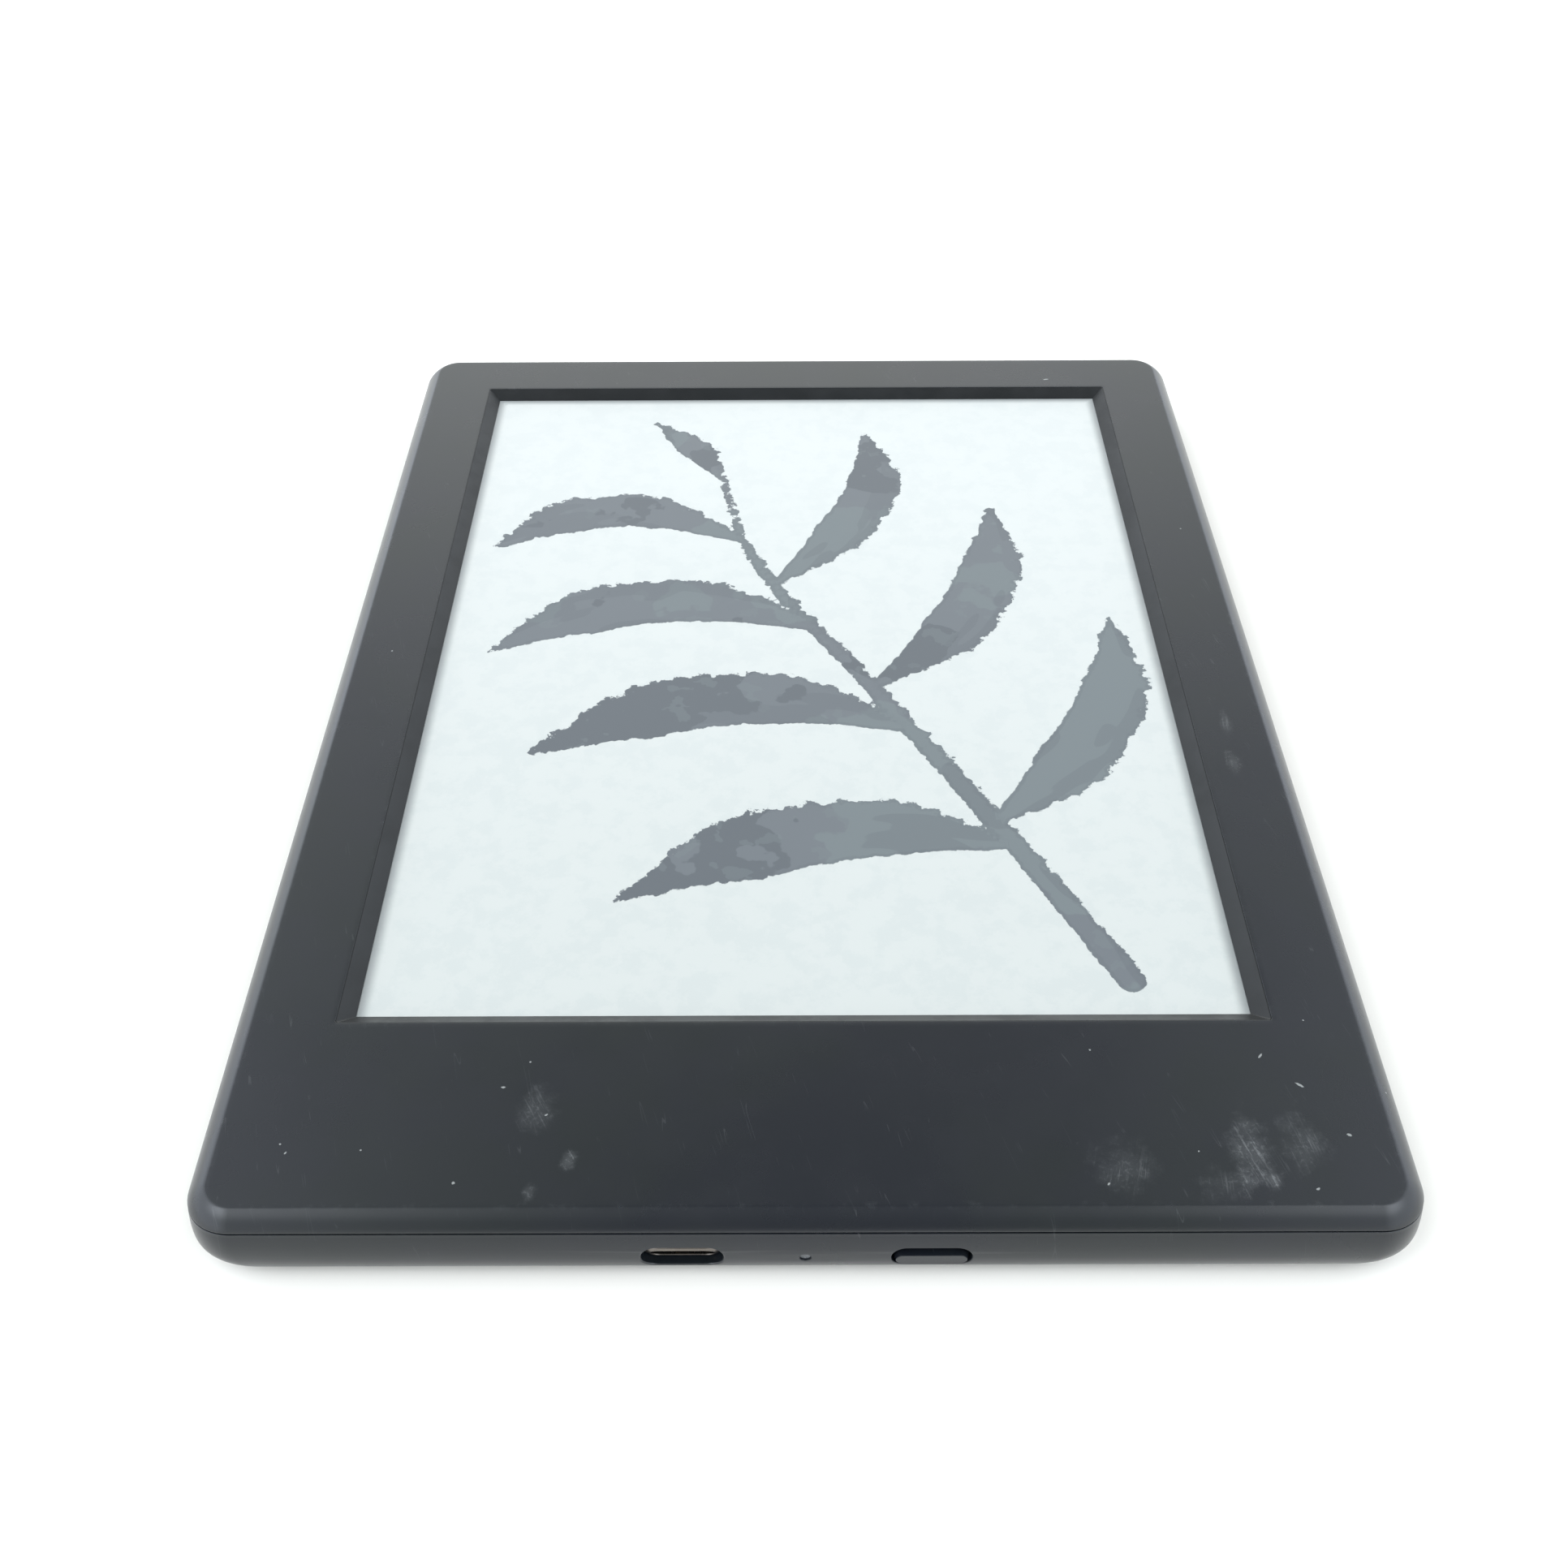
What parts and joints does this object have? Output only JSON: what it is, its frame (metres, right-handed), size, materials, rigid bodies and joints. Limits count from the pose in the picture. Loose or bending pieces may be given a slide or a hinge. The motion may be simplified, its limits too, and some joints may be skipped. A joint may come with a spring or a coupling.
{
  "type": "e-reader",
  "caption": "Slim handheld e-reader with a recessed electronic-paper screen, charging socket, charge light and power button on the near edge.",
  "frame": {"origin": "middle of the flat back, on the surface the reader lies on", "axes": "+X to the right seen from the front, +Y from the socket edge to the far edge, +Z from the back to the screen"},
  "size_m": [0.115, 0.16, 0.0091],
  "materials": {
    "case_front": "fine matte moulded plastic, soft touch, lightly scuffed",
    "case_rear": "fine matte moulded plastic, soft touch",
    "button_plastic": "satin moulded plastic",
    "ir_window": "dark infrared-clear plastic, satin",
    "screen_surface": "pale paper-like film over electronic ink",
    "panel_glass": "thin panel glass",
    "chip_epoxy": "black moulded epoxy",
    "switch_housing": "black high-temperature nylon",
    "circuit_board": "green solder mask",
    "flex_film": "amber polyimide film",
    "connector_plastic": "natural nylon",
    "latch_plastic": "black nylon",
    "adhesive_tape": "double-sided tape",
    "cast_frame": "as-cast light alloy, bead blasted",
    "screw_steel": "zinc-plated steel",
    "shield_metal": "tin-plated sheet",
    "inductor_ferrite": "pressed ferrite",
    "capacitor_ceramic": "tan ceramic",
    "crystal_can": "plated can",
    "wireless_board": "blue solder mask",
    "antenna_metal": "gold-plated copper",
    "spring_metal": "spring steel",
    "socket_metal": "nickel-plated sheet",
    "tongue_plastic": "black liquid-crystal polymer",
    "contact_gold": "gold plated",
    "led_lens": "clear epoxy lens",
    "light_pipe_clear": "clear acrylic",
    "emitter_lens": "clear epoxy lens",
    "detector_lens": "dark infrared-pass epoxy lens",
    "plunger_plastic": "natural acetal",
    "battery_foil": "laminated foil pouch",
    "wire_sleeve": "silicone insulation",
    "foam": "soft foam"
  },
  "bodies": {
    "body": {"front_bezel": "case_front", "rear_cover": "case_rear", "ir_light_guide": "ir_window", "touch_board": "circuit_board", "ir_emitters": "emitter_lens", "ir_detectors": "detector_lens", "touch_flex": "flex_film", "touch_connector": "connector_plastic", "touch_controller": "chip_epoxy", "display_front_sheet": "screen_surface", "display_backplane": "panel_glass", "display_driver": "chip_epoxy", "display_flex": "flex_film", "display_connector": "connector_plastic", "connector_latch": "latch_plastic", "display_tape": "adhesive_tape", "midframe": "cast_frame", "midframe_screws": "screw_steel", "main_board": "circuit_board", "board_screws": "screw_steel", "shield_frame": "shield_metal", "shield_lid": "shield_metal", "processor": "chip_epoxy", "memory_chip": "chip_epoxy", "storage_chip": "chip_epoxy", "power_chip": "chip_epoxy", "power_inductors": "inductor_ferrite", "board_capacitors": "capacitor_ceramic", "clock_crystal": "crystal_can", "wireless_module": "wireless_board", "wireless_shield": "shield_metal", "antenna": "antenna_metal", "antenna_contact": "spring_metal", "usb_shell": "socket_metal", "usb_tongue": "tongue_plastic", "usb_contacts": "contact_gold", "charge_led": "led_lens", "light_pipe": "light_pipe_clear", "switch_body": "switch_housing", "switch_dome": "spring_metal", "battery_cell": "battery_foil", "battery_board": "circuit_board", "battery_wires": "wire_sleeve", "battery_plug": "connector_plastic", "battery_socket": "connector_plastic", "battery_tape": "adhesive_tape", "rear_foam_pad": "foam"},
    "button": {"power_button": "button_plastic"},
    "plunger": {"switch_plunger": "plunger_plastic"}
  },
  "joints": [
    {"name": "power_button_press", "type": "slide", "parent": "body", "child": "button", "axis": [0, 1, 0], "range_m": [0, 0.0003], "stiffness_N_per_m": 3000},
    {"name": "switch_plunger_press", "type": "slide", "parent": "body", "child": "plunger", "axis": [0, 1, 0], "range_m": [0, 0.0003]}
  ],
  "couplings": [
    {"joint": "switch_plunger_press", "follows": "power_button_press", "ratio": 1}
  ]
}
